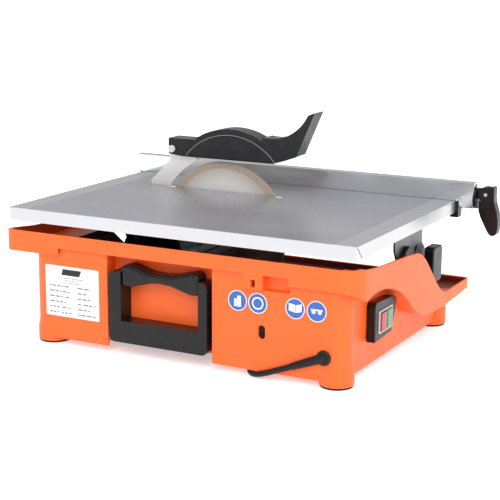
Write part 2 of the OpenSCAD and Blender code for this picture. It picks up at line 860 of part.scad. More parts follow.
module fence_bar() {
  color(bright) difference() {
    span([fence_x, fence_y0, fence_z], [fence_x + fence_w, fence_y1, fence_z + fence_h]);
    span([fence_x + 2, fence_y0 - 1, fence_z + 2],
      [fence_x + fence_w - 2, fence_y1 + 1, fence_z + fence_h - 2]);
    // notches for the head and the tail
    for (ends = [[fence_y0 - 1, -5.4], [table_l + 0.4, fence_y1 + 1]])
      span([fence_x + 2, ends[0], fence_z - 1], [fence_x + fence_w - 2, ends[1], fence_z + 2.1]);
    rod_x(-9, fence_z + 4, 2, fence_x - 1, fence_x + 3);
  }
}

module fence_head() {
  color(bright) difference() {
    union() {
      slab_x([[fence_y0, 174.5], [-12, 174.5], [-8, 176], [-5.6, 179], [-5.4, fence_z], [fence_y0, fence_z]],
        fence_x, fence_x + fence_w);
      span([fence_x + 2.2, fence_y0 + 3, fence_z - 0.5],
        [fence_x + fence_w - 2.2, -6, fence_z + fence_h - 4]);
    }
    rod_x(-9, fence_z + 4, 2, fence_x - 1, fence_x + 9);
  }
}

module fence_jaw() {
  color(black) union() {
    span([fence_x, -5.4, 163], [fence_x + 14, -0.5, fence_z]);
    span([fence_x, -5.4, 160], [fence_x + 14, 7, lip_z - 0.5]);
    span([fence_x, 2.6, 160], [fence_x + 14, 7, 173]);
  }
}

module fence_tail() {
  color(black) union() {
    span([fence_x, table_l + 0.5, 160], [fence_x + 14, table_l + 6, fence_z]);
    span([fence_x, table_l - 7, 160], [fence_x + 14, table_l + 6, lip_z - 0.5]);
    span([fence_x, table_l - 7, 160], [fence_x + 14, table_l - 2.6, 173]);
    span([fence_x + 2.2, table_l + 0.5, fence_z - 1],
      [fence_x + fence_w - 2.2, fence_y1 + 0.4, fence_z + fence_h - 4]);
  }
}

module fence_screws() {
  color(steel) union() {
    rod_x(-9, fence_z + 4, 2, fence_x - 0.8, fence_x + 9);
    rod_x(-9, fence_z + 4, 3.2, fence_x - 1.2, fence_x);
  }
}

// Fixed half of the quick clamp: a disc, and an eye that the lever turns on
module lever_block() {
  color(black) difference() {
    union() {
      rod_y(fence_x + 8, 188, 14, -31, fence_y0);
      span([fence_x + 4.6, lever_y, 188], [fence_x + 11.4, -30, 203]);
      rod_x(lever_y, lever_z, 7.5, fence_x + 4.6, fence_x + 11.4);
    }
    rod_x(lever_y, lever_z, 2.55, fence_x, fence_x + 20);
  }
}

module lever_pin() {
  color(steel) rod_x(lever_y, lever_z, 2.5, fence_x + 0.6, fence_x + 15.4);
}

// Lever with two cheeks, a front plate and a paddle that hangs down
paddle = [[-33.8, 186], [-34, 172], [-37, 163.5], [-43, 152], [-49, 141.5], [-52.5, 138.7], [-57, 138.6],
  [-60.5, 141.5], [-62.4, 150], [-62.3, 159], [-60.4, 171], [-56.5, 183], [-55.4, 190], [-55.3, 206],
  [-51, 206.4], [-51, 186]];
module fence_lever() {
  color(black) difference() {
    union() {
      slab_x(paddle, fence_x + 1, fence_x + 15);
      for (x = [fence_x + 1, fence_x + 11.7]) {
        rod_x(lever_y, lever_z, 10.6, x, x + 3.3);
        span([x, -53, 184.6], [x + 3.3, lever_y, 205.4]);
      }
    }
    rod_x(lever_y, lever_z, 2.55, fence_x, fence_x + 20);
    // room for the fixed eye
    rod_x(lever_y, lever_z, 7.8, fence_x + 4.3, fence_x + 11.7);
    span([fence_x + 4.3, lever_y, 180], [fence_x + 11.7, -31, 215]);
  }
}

at_origin() body_tub();
at_origin() rubber_feet();
at_origin() drain_plug();
at_origin() handle_frame();
at_origin() handle_grip();
at_origin() handle_screws();
at_origin() rating_label();
at_origin() round_stickers();
at_origin() cord_gland();
at_origin() cord_sleeve();
at_origin() mains_cord();
at_origin() cord_coil();
at_origin() plug_lead();
at_origin() plug_body();
at_origin() plug_pins();
at_origin() switch_housing();
at_origin() switch_frame();
at_origin() switch_body();
at_origin() start_button();
at_origin() stop_button();
at_origin() motor_housing();
at_origin() blade_end_bell();
at_origin() fan_end_bell();
at_origin() fan_cover();
at_origin() stator();
at_origin() rotor_shaft();
at_origin() cooling_fan();
at_origin() bearings();
at_origin() motor_cradle();
at_origin() cradle_screws();
at_origin() capacitor();
at_origin() inner_flange();
at_origin() blade_core();
at_origin() diamond_rim();
at_origin() outer_flange();
at_origin() blade_nut();
at_origin() riving_knife();
at_origin() knife_screws();
at_origin() guard();
at_origin() guard_bolt();
at_origin() table_top();
at_origin() table_rails();
at_origin() sector_plates();
at_origin() trunnion_plates();
at_origin() trunnion_screws();
at_origin() pivot_bolts();
at_origin() guide_washers();
at_origin() clamp_bolts();
at_origin() front_knob();
at_origin() rear_knob();
at_origin() fence_bar();
at_origin() fence_head();
at_origin() fence_jaw();
at_origin() fence_tail();
at_origin() fence_screws();
at_origin() lever_block();
at_origin() lever_pin();
at_origin() fence_lever();
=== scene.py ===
"""Looks of the tile cutter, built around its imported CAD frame. Metres, in the frame's own axes."""

import json
import math
import random

import bmesh
import bpy
from mathutils import Matrix, Vector

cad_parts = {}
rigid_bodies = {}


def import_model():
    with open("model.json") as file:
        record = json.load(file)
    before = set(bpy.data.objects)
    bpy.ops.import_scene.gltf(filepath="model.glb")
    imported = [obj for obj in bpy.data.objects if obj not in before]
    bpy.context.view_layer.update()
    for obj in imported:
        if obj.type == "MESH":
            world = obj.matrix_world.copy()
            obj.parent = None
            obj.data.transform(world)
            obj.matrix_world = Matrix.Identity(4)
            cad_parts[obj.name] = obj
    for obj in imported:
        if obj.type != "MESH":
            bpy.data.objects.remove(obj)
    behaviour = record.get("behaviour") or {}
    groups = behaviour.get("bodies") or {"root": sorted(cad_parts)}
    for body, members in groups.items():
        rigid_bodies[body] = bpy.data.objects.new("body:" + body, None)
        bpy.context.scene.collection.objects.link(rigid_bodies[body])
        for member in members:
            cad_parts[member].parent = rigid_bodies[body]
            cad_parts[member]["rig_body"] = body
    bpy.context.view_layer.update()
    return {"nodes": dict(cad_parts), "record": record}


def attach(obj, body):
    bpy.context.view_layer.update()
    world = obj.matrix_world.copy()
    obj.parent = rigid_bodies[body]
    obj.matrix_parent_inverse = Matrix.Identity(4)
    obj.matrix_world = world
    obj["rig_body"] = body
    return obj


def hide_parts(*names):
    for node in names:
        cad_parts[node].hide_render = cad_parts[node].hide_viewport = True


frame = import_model()

MM = 0.001
ORIGIN = Vector((201.6, 230.5, 0.0))  # the frame's origin, from the table's front left corner, mm


def place(x, y, z):
    """A place given in millimetres from the table's front left corner, as metres in the frame."""
    return (Vector((x, y, z)) - ORIGIN) * MM


# ---- camera ----

CAMERA_AT = place(-1431.1, -616.1, 530.7)
CAMERA_AZIMUTH = math.radians(-62.07)
CAMERA_ELEVATION = math.radians(12.75)
CAMERA_ROLL = math.radians(0.29)
CAMERA_LENS = 97.57  # mm
CAMERA_SENSOR = 36  # mm
CAMERA_REACH = 200  # metres, past the far edge of the floor


def add_camera():
    """The camera that sees the machine as the photograph does."""
    back = Vector((
        math.sin(CAMERA_AZIMUTH) * math.cos(CAMERA_ELEVATION),
        -math.cos(CAMERA_AZIMUTH) * math.cos(CAMERA_ELEVATION),
        math.sin(CAMERA_ELEVATION),
    ))
    level = Vector((0, 0, 1)).cross(back).normalized()
    rise = back.cross(level)
    right = level * math.cos(CAMERA_ROLL) + rise * math.sin(CAMERA_ROLL)
    up = rise * math.cos(CAMERA_ROLL) - level * math.sin(CAMERA_ROLL)
    data = bpy.data.cameras.new("camera")
    data.lens = CAMERA_LENS
    data.sensor_width = CAMERA_SENSOR
    data.clip_end = CAMERA_REACH
    camera = bpy.data.objects.new("camera", data)
    camera.matrix_world = Matrix.Translation(CAMERA_AT) @ Matrix((right, up, back)).transposed().to_4x4()
    bpy.context.scene.collection.objects.link(camera)
    bpy.context.scene.camera = camera


add_camera()


# ---- materials ----


def new_material(name):
    """A material with its shader and a texture coordinate node that moves with the piece."""
    material = bpy.data.materials.new(name)
    material.use_nodes = True
    nodes = material.node_tree.nodes
    shader = nodes["Principled BSDF"]
    coordinate = nodes.new("ShaderNodeTexCoord")
    return material, nodes, material.node_tree.links, shader, coordinate.outputs["Object"]


def stretched(nodes, links, coordinate, scale):
    """The coordinate scaled along each axis; a small scale draws a pattern out along its axis."""
    mapping = nodes.new("ShaderNodeMapping")
    mapping.inputs["Scale"].default_value = scale
    links.new(coordinate, mapping.inputs["Vector"])
    return mapping.outputs["Vector"]


def noise(nodes, links, vector, scale, detail=4.0, roughness=0.55):
    """Noise of about 0 to 1; scale is its count of features to the metre."""
    node = nodes.new("ShaderNodeTexNoise")
    node.inputs["Scale"].default_value = scale
    node.inputs["Detail"].default_value = detail
    node.inputs["Roughness"].default_value = roughness
    links.new(vector, node.inputs["Vector"])
    return node.outputs["Fac"]


def ranged(nodes, links, value, low, high, start=0.3, end=0.7):
    """Low to high as the value goes from start to end."""
    node = nodes.new("ShaderNodeMapRange")
    for socket, number in (("From Min", start), ("From Max", end), ("To Min", low), ("To Max", high)):
        node.inputs[socket].default_value = number
    links.new(value, node.inputs["Value"])
    return node.outputs["Result"]


def mixed(nodes, links, factor, a, b):
    """Colour a to colour b by factor; a may be another node's output."""
    node = nodes.new("ShaderNodeMix")
    node.data_type = "RGBA"
    links.new(factor, node.inputs["Factor"])
    for socket, colour in ((node.inputs[6], a), (node.inputs[7], b)):
        if isinstance(colour, bpy.types.NodeSocket):
            links.new(colour, socket)
        else:
            socket.default_value = (*colour, 1)
    return node.outputs[2]


def bumped(nodes, links, shader, height, strength, distance):
    """Relief on a shader; distance is its depth in metres."""
    node = nodes.new("ShaderNodeBump")
    node.inputs["Strength"].default_value = strength
    node.inputs["Distance"].default_value = distance
    links.new(height, node.inputs["Height"])
    links.new(node.outputs["Normal"], shader.inputs["Normal"])


def shade(colour, factor):
    """A colour made darker or lighter."""
    return tuple(min(1.0, c * factor) for c in colour)


def moulded(name, colour, roughness, grain=2600, grain_depth=0.12, spread=0.09, coat=0.0, gloss=0.5):
    """Moulded plastic or rubber: fine spark-eroded grain, uneven sheen and slight colour drift."""
    material, nodes, links, shader, coordinate = new_material(name)
    drift = noise(nodes, links, coordinate, 9, 5)
    tone = mixed(nodes, links, ranged(nodes, links, drift, 0, 1), shade(colour, 1 - spread),
                 shade(colour, 1 + spread))
    links.new(tone, shader.inputs["Base Color"])
    sheen = noise(nodes, links, coordinate, 55, 6)
    links.new(ranged(nodes, links, sheen, roughness - 0.07, roughness + 0.07), shader.inputs["Roughness"])
    bumped(nodes, links, shader, noise(nodes, links, coordinate, grain, 2), grain_depth, 0.0003)
    shader.inputs["Specular IOR Level"].default_value = gloss
    shader.inputs["Coat Weight"].default_value = coat
    shader.inputs["Coat Roughness"].default_value = 0.25
    return material


def brushed(name, colour, roughness, along=(1, 1, 1), depth=0.08, spread=0.10, stain=0.0):
    """Metal with fine lines; along holds small numbers in the direction that the lines run."""
    material, nodes, links, shader, coordinate = new_material(name)
    shader.inputs["Metallic"].default_value = 1.0
    lines = noise(nodes, links, stretched(nodes, links, coordinate, along), 900, 3, 0.6)
    cloud = noise(nodes, links, coordinate, 14, 5)
    tone = mixed(nodes, links, ranged(nodes, links, lines, 0, 1), shade(colour, 1 - spread),
                 shade(colour, 1 + spread))
    if stain:
        tone = mixed(nodes, links, ranged(nodes, links, cloud, 0, stain, 0.45, 0.75), tone,
                     shade(colour, 0.6))
    links.new(tone, shader.inputs["Base Color"])
    links.new(ranged(nodes, links, cloud, roughness - 0.06, roughness + 0.08), shader.inputs["Roughness"])
    bumped(nodes, links, shader, lines, depth, 0.0002)
    return material


def within(nodes, links, value, low, high, soft):
    """1 where the value lies between two limits, fading to 0 over a soft edge."""
    rising = ranged(nodes, links, value, 0, 1, low - soft, low)
    falling = ranged(nodes, links, value, 1, 0, high, high + soft)
    return product(nodes, links, rising, falling)


def product(nodes, links, a, b):
    """One node output times another."""
    node = nodes.new("ShaderNodeMath")
    node.operation = "MULTIPLY"
    links.new(a, node.inputs[0])
    links.new(b, node.inputs[1])
    return node.outputs["Value"]


def axes_of(nodes, links, coordinate):
    """A coordinate's X, Y and Z as three outputs."""
    split = nodes.new("ShaderNodeSeparateXYZ")
    links.new(coordinate, split.inputs["Vector"])
    return split.outputs["X"], split.outputs["Y"], split.outputs["Z"]


def inside_box(nodes, links, axes, corner, opposite):
    """1 inside a box given by two corners in millimetres, fading out over its faces."""
    low, high = place(*corner), place(*opposite)
    spans = [within(nodes, links, axis, low[i], high[i], BOX_FADE) for i, axis in enumerate(axes)]
    return product(nodes, links, product(nodes, links, spans[0], spans[1]), spans[2])


BOX_FADE = 0.0007  # metres over which a box's colour fades out

# Painted shade: insides shown darker than the outside, as if lying in shadow: the deep part, the rim band
# and the gutter on the right
SHADED_INSIDE_BOXES = (
    ((30.5, 26, 10), (347, 469, 160)),
    ((2.6, 23, 137), (347, 512.5, 151.5)),
    ((347, 1, 48.5), (404.2, 514, 58)),
)


def tub_plastic(name, colour, inside, roughness):
    """Moulding whose inner faces, within the boxes of painted shade, are coloured darker: painted shade."""
    material, nodes, links, shader, coordinate = new_material(name)
    axes = axes_of(nodes, links, coordinate)
    drift = noise(nodes, links, coordinate, 9, 5)
    tone = mixed(nodes, links, ranged(nodes, links, drift, 0, 1), shade(colour, 0.955),
                 shade(colour, 1.045))
    # painted shade: inside each box the orange gives way to a dark shade colour
    for corners in SHADED_INSIDE_BOXES:
        tone = mixed(nodes, links, inside_box(nodes, links, axes, *corners), tone, inside)
    links.new(tone, shader.inputs["Base Color"])
    sheen = noise(nodes, links, coordinate, 55, 6)
    links.new(ranged(nodes, links, sheen, roughness - 0.06, roughness + 0.06), shader.inputs["Roughness"])
    bumped(nodes, links, shader, noise(nodes, links, coordinate, 1900, 2), 0.10, 0.0003)
    shader.inputs["Specular IOR Level"].default_value = 0.36
    shader.inputs["Coat Weight"].default_value = 0.06
    shader.inputs["Coat Roughness"].default_value = 0.25
    return material


# Table sheet, in mm from its front edge: the field between the end strips, which are painted lighter as
# painted light on the bent ends, and the painted shade of a fold line at each end
FIELD = (33, 477)
FOLD_SHADE_LINES = ((31.6, 32.2), (477.8, 478.4))
FIELD_FADE = 0.0008
FOLD_SHADE_FADE = 0.0006
TOP_FACE = (0.1825, 0.1831)  # metres above the floor, where the lips' colour gives way to the top's


def across_table(nodes, links, y, span, soft):
    """1 on a strip right across the table, between two distances from its front edge."""
    return within(nodes, links, y, place(0, span[0], 0)[1], place(0, span[1], 0)[1], soft)


def table_sheet(name, roughness):
    """Zinc-coated sheet: a satin top with painted shade for a fold line near each end, end strips painted
    lighter as painted light, and lips coloured brighter than the top.
    """
    material, nodes, links, shader, coordinate = new_material(name)
    shader.inputs["Metallic"].default_value = 0.7
    _, y, z = axes_of(nodes, links, coordinate)
    rolled = noise(nodes, links, stretched(nodes, links, coordinate, (1, 0.03, 1)), 420, 4, 0.6)
    cloud = noise(nodes, links, stretched(nodes, links, coordinate, (1, 0.4, 1)), 7, 3)
    top = mixed(nodes, links, ranged(nodes, links, cloud, 0, 1), (0.40, 0.40, 0.43), (0.50, 0.50, 0.53))
    top = mixed(nodes, links, ranged(nodes, links, rolled, 0, 0.1), top, (0.36, 0.36, 0.39))
    field = across_table(nodes, links, y, FIELD, FIELD_FADE)
    # painted light: the end strips outside the field are coloured lighter, where light catches the sheet's
    # bent ends
    top = mixed(nodes, links, field, (0.53, 0.53, 0.55), top)
    # painted shade: a darker line where the sheet folds near each end
    for span in FOLD_SHADE_LINES:
        line = across_table(nodes, links, y, span, FOLD_SHADE_FADE)
        top = mixed(nodes, links, line, top, (0.30, 0.30, 0.33))
    face = ranged(nodes, links, z, 0, 1, *TOP_FACE)
    links.new(mixed(nodes, links, face, (0.60, 0.60, 0.62), top), shader.inputs["Base Color"])
    links.new(ranged(nodes, links, cloud, roughness - 0.05, roughness + 0.07), shader.inputs["Roughness"])
    bumped(nodes, links, shader, rolled, 0.003, 0.0001)
    return material


BLADE_CENTRE = (246, 314.6, 126)
BROWNING = (0.070, 0.091)  # metres from the centre, where the brown begins and where it is full
BROWN_END = (0.096, 0.100)  # where it stops, so that the riving knife stays bright


def blade_face(name, bright, burnt, roughness):
    """Ground steel disc that is browned towards its diamond rim."""
    material, nodes, links, shader, coordinate = new_material(name)
    shader.inputs["Metallic"].default_value = 0.55
    centre = place(*BLADE_CENTRE)
    shift = nodes.new("ShaderNodeMapping")
    shift.inputs["Location"].default_value = (0, -centre[1], -centre[2])
    shift.inputs["Scale"].default_value = (0, 1, 1)
    links.new(coordinate, shift.inputs["Vector"])
    reach = nodes.new("ShaderNodeVectorMath")
    reach.operation = "LENGTH"
    links.new(shift.outputs["Vector"], reach.inputs[0])
    lines = noise(nodes, links, stretched(nodes, links, coordinate, (1, 0.12, 0.6)), 600, 3, 0.6)
    tone = mixed(nodes, links, ranged(nodes, links, lines, 0, 1), shade(bright, 0.96), shade(bright, 1.04))
    browned = ranged(nodes, links, reach.outputs["Value"], 0, 0.75, *BROWNING)
    on_disc = ranged(nodes, links, reach.outputs["Value"], 1, 0, *BROWN_END)
    tone = mixed(nodes, links, product(nodes, links, browned, on_disc), tone, burnt)
    links.new(tone, shader.inputs["Base Color"])
    links.new(ranged(nodes, links, lines, roughness - 0.04, roughness + 0.04), shader.inputs["Roughness"])
    bumped(nodes, links, shader, lines, 0.02, 0.0002)
    return material


def speckled(name, dark, light, roughness, metallic, scale):
    """Sintered or cast surface: coarse grains of two tones."""
    material, nodes, links, shader, coordinate = new_material(name)
    shader.inputs["Metallic"].default_value = metallic
    grains = noise(nodes, links, coordinate, scale, 6, 0.75)
    links.new(mixed(nodes, links, ranged(nodes, links, grains, 0, 1, 0.38, 0.62), dark, light),
              shader.inputs["Base Color"])
    links.new(ranged(nodes, links, grains, roughness - 0.1, roughness + 0.1), shader.inputs["Roughness"])
    bumped(nodes, links, shader, grains, 0.25, 0.0004)
    return material


ORANGE = (0.90, 0.128, 0.017)
# colour of the painted shade on the tub's insides
PAINTED_SHADE_ORANGE = (0.13, 0.012, 0.004)
BLACK = (0.0065, 0.0065, 0.0075)

MATERIALS = {
    "orange_plastic": tub_plastic("orange moulding with painted shade", ORANGE, PAINTED_SHADE_ORANGE, 0.42),
    "black_plastic": moulded("black moulding", BLACK, 0.27, 2400, 0.07, 0.12, 0.0, 0.30),
    "black_rubber": moulded("black rubber", (0.009, 0.009, 0.010), 0.5, 1500, 0.12, 0.15, 0.0, 0.25),
    "washer_steel": brushed("blackened steel", (0.06, 0.06, 0.065), 0.38, (1, 1, 1)),
    "bright_steel": brushed("plated steel", (0.68, 0.68, 0.70), 0.27, (1, 0.1, 1), 0.05),
    "table_steel": table_sheet("galvanised sheet", 0.29),
    # painted shade: plate_steel and motor_alloy are coloured much darker than their metal, so the parts
    # inside the gap under the table look shaded
    "plate_steel": brushed("grey plate darkened as painted shade", (0.20, 0.20, 0.215), 0.42, (0.1, 1, 1), 0.06, 0.12, 0.4),
    "motor_alloy": speckled("cast alloy darkened as painted shade", (0.10, 0.10, 0.11), (0.17, 0.17, 0.18), 0.55, 0.6, 700),
    "fence_aluminium": brushed("extruded aluminium", (0.74, 0.75, 0.77), 0.19, (1, 0.02, 1), 0.010, 0.025),
    "blade_steel": blade_face("ground steel", (0.80, 0.785, 0.755), (0.47, 0.39, 0.31), 0.34),
    "diamond_bond": speckled("diamond bond", (0.33, 0.26, 0.20), (0.50, 0.42, 0.34), 0.60, 0.3, 1500),
    "copper_winding": brushed("copper winding", (0.55, 0.24, 0.10), 0.40, (0.02, 1, 1), 0.4),
    "white_coat": moulded("white coating", (0.62, 0.62, 0.62), 0.34, 1800, 0.05, 0.03, 0.3),
    "label_film": moulded("label film", (0.84, 0.84, 0.83), 0.38, 900, 0.04, 0.03, 0.2),
    "blue_film": moulded("blue film", (0.020, 0.105, 0.44), 0.32, 900, 0.04, 0.05, 0.3),
    "silver_trim": moulded("silver moulding", (0.55, 0.56, 0.57), 0.25, 1600, 0.05, 0.05, 0.4),
    "green_plastic": moulded("green button", (0.06, 0.24, 0.12), 0.30, 1600, 0.04, 0.05, 0.4),
    "red_plastic": moulded("red button", (0.40, 0.018, 0.015), 0.30, 1600, 0.04, 0.05, 0.4),
    "white_print": moulded("white print", (0.86, 0.86, 0.86), 0.40, 900, 0.03, 0.02),
    "grey_print": moulded("grey print", (0.17, 0.17, 0.18), 0.45, 900, 0.03, 0.05),
    "dark_print": moulded("dark print", (0.03, 0.03, 0.035), 0.40, 900, 0.03, 0.05, 0.0, 0.2),
    # painted highlight: light grey for the shine along the guard cheek's rim
    "edge_highlight_grey": moulded("painted edge highlight", (0.20, 0.20, 0.21), 0.2, 1800, 0.03, 0.05, 0.5),
}
SLOT_OF_NODE = {entry["node"]: entry["material_slot"] for entry in frame["record"]["subparts"]}
BODY_OF_NODE = {node: piece["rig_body"] for node, piece in frame["nodes"].items()}


# ---- building helpers ----

SHARP_DEGREES = 32  # an edge that turns by more than this is rounded, and shaded as an edge
JOIN_DISTANCE = 2e-6  # metres, between corners that are one corner
FLAT_DEGREES = 0.6  # triangles that turn by less than this make one flat face


def add_piece(name, mesh, material, body, slot, *nodes):
    """Puts a mesh into the scene as a piece that rides on a body and stands for some CAD nodes."""
    piece = bpy.data.objects.new(name, mesh)
    bpy.context.scene.collection.objects.link(piece)
    mesh.materials.clear()
    mesh.materials.append(MATERIALS[material])
    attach(piece, body)
    if nodes:
        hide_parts(*nodes)
    return piece


def soften(piece, width, segments=2):
    """Rounds the edges of a piece, and lets its flat faces stay flat."""
    piece.data.shade_smooth()
    if width:
        bevel = piece.modifiers.new("round edges", "BEVEL")
        bevel.width = width
        bevel.segments = segments
        bevel.limit_method = "ANGLE"
        bevel.angle_limit = math.radians(SHARP_DEGREES)
        bevel.use_clamp_overlap = True
        bevel.harden_normals = False
        bevel.miter_outer = "MITER_ARC"
    normals = piece.modifiers.new("flat faces", "WEIGHTED_NORMAL")
    normals.keep_sharp = True
    normals.weight = 60


def clean_mesh(node, name):
    """A CAD node's shape with its triangles joined into whole faces."""
    built = bmesh.new()
    built.from_mesh(frame["nodes"][node].data)
    bmesh.ops.remove_doubles(built, verts=built.verts, dist=JOIN_DISTANCE)
    bmesh.ops.dissolve_limit(built, angle_limit=math.radians(FLAT_DEGREES), verts=built.verts,
                             edges=built.edges, delimit={"NORMAL"})
    mesh = bpy.data.meshes.new(name)
    built.to_mesh(mesh)
    built.free()
    mesh.set_sharp_from_angle(angle=math.radians(SHARP_DEGREES))
    return mesh


def refine(node, width_mm, segments=2):
    """Replaces a CAD node by the same shape with rounded edges."""
    slot = SLOT_OF_NODE[node]
    piece = add_piece(node + "_finish", clean_mesh(node, node + "_finish"), slot, BODY_OF_NODE[node],
                      slot, node)
    soften(piece, width_mm * MM, segments)
    return piece


# ---- mains cord ----

CORD_D = 7.5  # mm
# From the sleeve down to the floor, under the tub and out on its right side to the coil
CORD_ROUTE = [
    (0.8, 84, 23.6), (0.8, 93, 20), (0.8, 102, 16.5), (0.8, 111, 13), (1, 120, 9.6), (1.8, 129, 6.7),
    (4.6, 138, 4.8), (10.7, 146, 3.9), (21, 153, 3.8), (37, 159.5, 3.8), (59, 167, 3.8), (85, 175, 3.8),
    (115, 184, 3.8), (150, 196, 3.8), (190, 210, 3.8), (230, 223, 3.8), (270, 234, 3.8),
    (310, 243, 3.8), (350, 249.5, 3.8), (385, 253, 3.8), (415, 254, 3.8), (440, 254, 3.8),
]
COIL_CENTRE = (462, 300)
COIL_INNER = 38.5
COIL_OUTER = 46
# Angle that the winding has turned through, its radius and its layer, where one of them changes
WINDING = [
    (-90, COIL_OUTER, 0), (200, COIL_OUTER, 0), (250, COIL_INNER, 0), (510, COIL_INNER, 0),
    (560, COIL_INNER, 1), (850, COIL_INNER, 1), (900, COIL_OUTER, 1), (1180, COIL_OUTER, 1),
    (1230, COIL_OUTER, 2), (1440, COIL_OUTER, 2),
]
LEAD_ROUTE = [(508, 304, 18.8), (508, 314, 18.9), (508, 322, 19), (508, 331, 19), (508, 342, 19)]


WINDING_STEP = 15  # degrees between two points of the coil
ROUTE_STEPS = 3  # parts of the smooth line between two points
FLOOR_GAP = 0.05  # mm under the lowest turn


def winding_point(turned):
    """A place on the coil's centreline, eased between the steps of the winding."""
    for (a0, r0, layer0), (a1, r1, layer1) in zip(WINDING, WINDING[1:]):
        if turned <= a1:
            break
    part = (turned - a0) / (a1 - a0)
    part = part * part * (3 - 2 * part)
    radius = r0 + (r1 - r0) * part
    height = CORD_D * (0.5 + layer0 + (layer1 - layer0) * part) + FLOOR_GAP
    angle = math.radians(turned)
    x = COIL_CENTRE[0] + radius * math.cos(angle)
    y = COIL_CENTRE[1] + radius * math.sin(angle)
    return x, y, height


def smooth_line(points, steps):
    """Catmull-Rom curve through the points."""
    line = []
    for i in range(len(points) - 1):
        p0, p1, p2, p3 = (Vector(points[max(0, min(len(points) - 1, k))]) for k in range(i - 1, i + 3))
        for step in range(steps):
            t = step / steps
            line.append(0.5 * (2 * p1 + (p2 - p0) * t + (2 * p0 - 5 * p1 + 4 * p2 - p3) * t * t
                               + (3 * p1 - p0 - 3 * p2 + p3) * t ** 3))
    return line + [Vector(points[-1])]


def make_cord():
    """One curve for the whole cord, from its sleeve to its plug."""
    turns = range(WINDING[0][0], WINDING[-1][0] + 1, WINDING_STEP)
    coil = [winding_point(turned) for turned in turns]
    route = smooth_line(CORD_ROUTE + coil + LEAD_ROUTE, ROUTE_STEPS)
    path = [place(*p) for p in route]
    curve = bpy.data.curves.new("mains_cord_run", "CURVE")
    curve.dimensions = "3D"
    curve.bevel_depth = CORD_D / 2 * MM
    curve.bevel_resolution = 4
    curve.use_fill_caps = True
    spline = curve.splines.new("POLY")
    spline.points.add(len(path) - 1)
    for point, p in zip(spline.points, path):
        point.co = (*p, 1)
    spline.use_smooth = True
    piece = add_piece("mains_cord_run", curve, "black_rubber", "machine", "black_rubber",
                      "mains_cord", "cord_coil", "plug_lead")
    plug = refine("plug_body", 1.4, 3)
    pins = refine("plug_pins", 0.8, 2)


make_cord()

# ---- CAD nodes that keep their shape and get rounded edges ----

WIDE_EDGE = 1  # mm, above which a rounded edge has one segment more

# Width of each node's rounded edges, mm
EDGE_MM = {
    "body_tub": 1.2, "rubber_feet": 0.6, "drain_plug": 0.5, "handle_frame": 1.8, "handle_grip": 4.0,
    "handle_screws": 0.3, "rating_label": 0.12, "round_stickers": 0.1, "cord_gland": 0.8, "cord_sleeve": 0.4,
    "switch_housing": 1.2, "switch_frame": 0.4, "switch_body": 0.4, "start_button": 0.8,
    "stop_button": 0.8, "motor_housing": 0.4, "blade_end_bell": 1.2, "fan_end_bell": 1.2,
    "fan_cover": 1.0, "stator": 0.5, "rotor_shaft": 0.5, "cooling_fan": 0.3, "bearings": 0.4,
    "motor_cradle": 0.4, "cradle_screws": 0.5, "capacitor": 1.0, "inner_flange": 0.4,
    "blade_core": 0.1, "diamond_rim": 0.15, "outer_flange": 0.5, "blade_nut": 0.5, "riving_knife": 0.25,
    "knife_screws": 0.5, "guard": 1.0, "guard_bolt": 0.6, "table_top": 0.7, "table_rails": 0.4,
    "sector_plates": 0.4, "trunnion_plates": 0.4, "trunnion_screws": 0.4, "pivot_bolts": 0.4,
    "guide_washers": 0.8, "clamp_bolts": 0.6, "front_knob": 1.6, "rear_knob": 1.6, "fence_bar": 0.6,
    "fence_head": 0.6, "fence_jaw": 0.5, "fence_tail": 0.5, "fence_screws": 0.3, "lever_block": 0.6,
    "lever_pin": 0.4, "fence_lever": 1.0,
}
for node_name, edge in EDGE_MM.items():
    refine(node_name, edge, 3 if edge > WIDE_EDGE else 2)


# ---- print on the label and the stickers ----


RING_PARTS = 40


def outline_mesh(name, outlines, x0, x1):
    """Flat shapes drawn in Y and Z, given thickness from x0 to x1, all in one mesh."""
    built = bmesh.new()
    for outline in outlines:
        near = [built.verts.new(place(x0, y, z)) for y, z in outline]
        far = [built.verts.new(place(x1, y, z)) for y, z in outline]
        built.faces.new(near)
        built.faces.new(far[::-1])
        for i in range(len(outline)):
            k = (i + 1) % len(outline)
            built.faces.new((near[i], far[i], far[k], near[k]))
    bmesh.ops.recalc_face_normals(built, faces=built.faces)
    mesh = bpy.data.meshes.new(name)
    built.to_mesh(mesh)
    built.free()
    return mesh


def block(y0, y1, z0, z1):
    """A rectangle's outline."""
    return [(y0, z0), (y1, z0), (y1, z1), (y0, z1)]


def circle(y, z, radius, count):
    """A round outline of count points."""
    return [(y + radius * math.cos(math.tau * i / count), z + radius * math.sin(math.tau * i / count))
            for i in range(count)]


def ring_parts(y, z, outer, inner):
    """Short four-sided parts that make a ring together."""
    edge = circle(0, 0, 1, RING_PARTS)
    edge.append(edge[0])
    return [[(y + outer * a[0], z + outer * a[1]), (y + outer * b[0], z + outer * b[1]),
             (y + inner * b[0], z + inner * b[1]), (y + inner * a[0], z + inner * a[1])]
            for a, b in zip(edge, edge[1:])]


# The print's sizes and places are in mm from the table's front left corner
LABEL_REAR = 455.9
LABEL_TOP = 109.6
LABEL_LENGTH = 85.5
LABEL_HEIGHT = 69.5
LABEL_FACE = 4.5  # X of the label's outer face
PRINT_FACE = 4.44  # X of the print's outer face, just proud of the label


